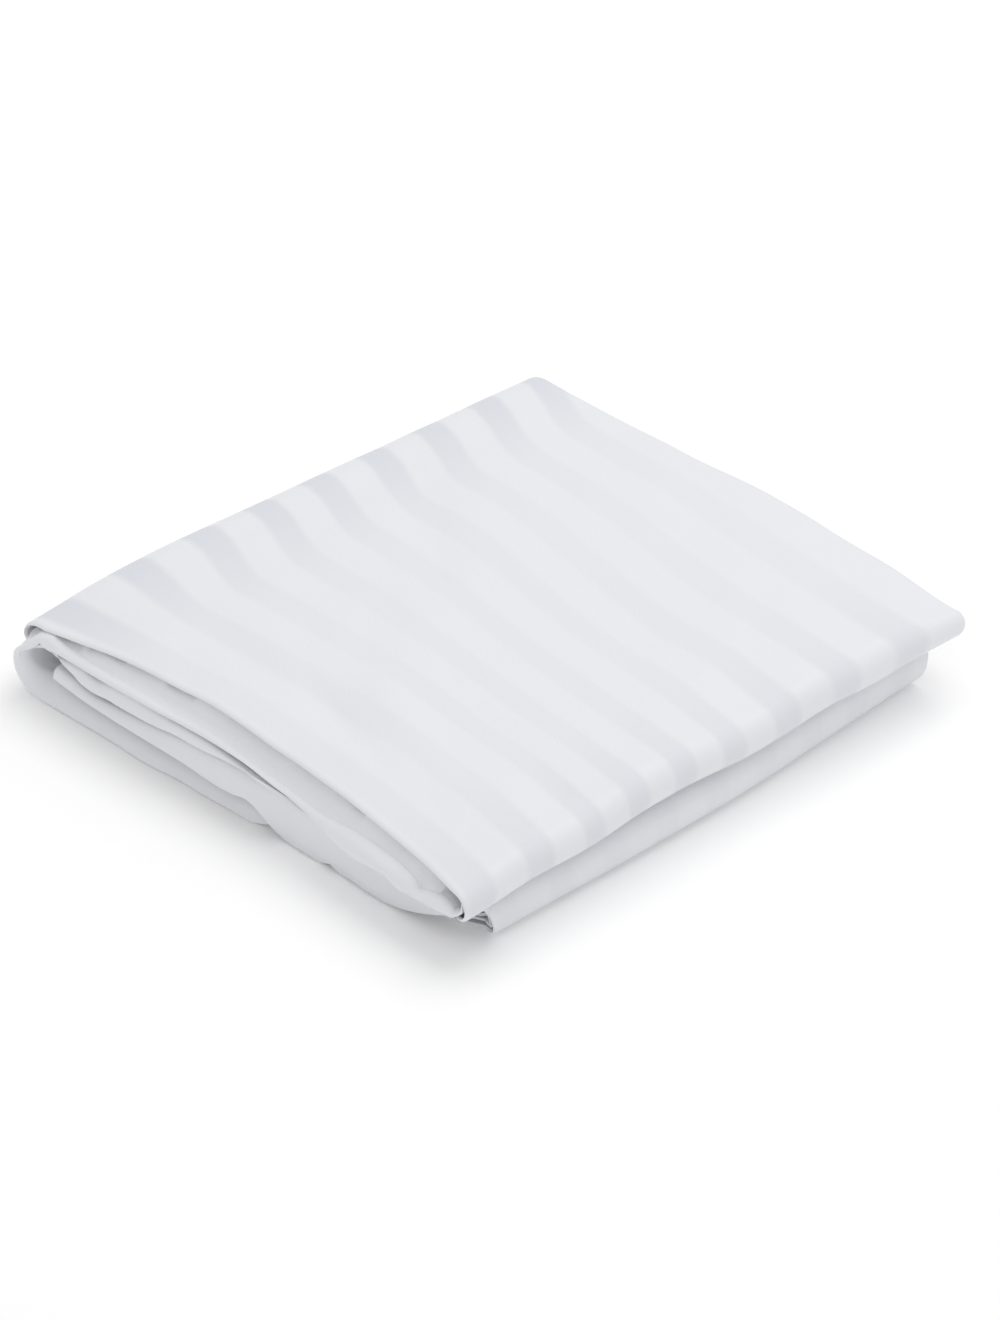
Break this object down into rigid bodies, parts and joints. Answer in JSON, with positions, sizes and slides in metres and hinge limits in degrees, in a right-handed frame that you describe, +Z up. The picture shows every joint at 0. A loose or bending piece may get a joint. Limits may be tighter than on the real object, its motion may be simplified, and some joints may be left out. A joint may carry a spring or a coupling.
{
  "type": "folded duvet cover",
  "caption": "Striped cotton sateen duvet cover folded to a flat rectangular packet of back-and-forth layers, resting flat.",
  "frame": {"origin": "under the middle of the packet, on the surface that it rests on", "axes": "+Z up, +Y along the folds from the side where the layers' rims show to the opposite side, +X towards the big fold of the two upper layers"},
  "size_m": [0.3616, 0.3812, 0.0584],
  "materials": {
    "face_sateen": "white cotton sateen with a woven tone-on-tone stripe, softly glossy",
    "back_sateen": "white cotton sateen with a woven tone-on-tone stripe, softly glossy"
  },
  "bodies": {
    "root": {"face_panel": "face_sateen", "back_panel": "back_sateen"}
  },
  "joints": []
}
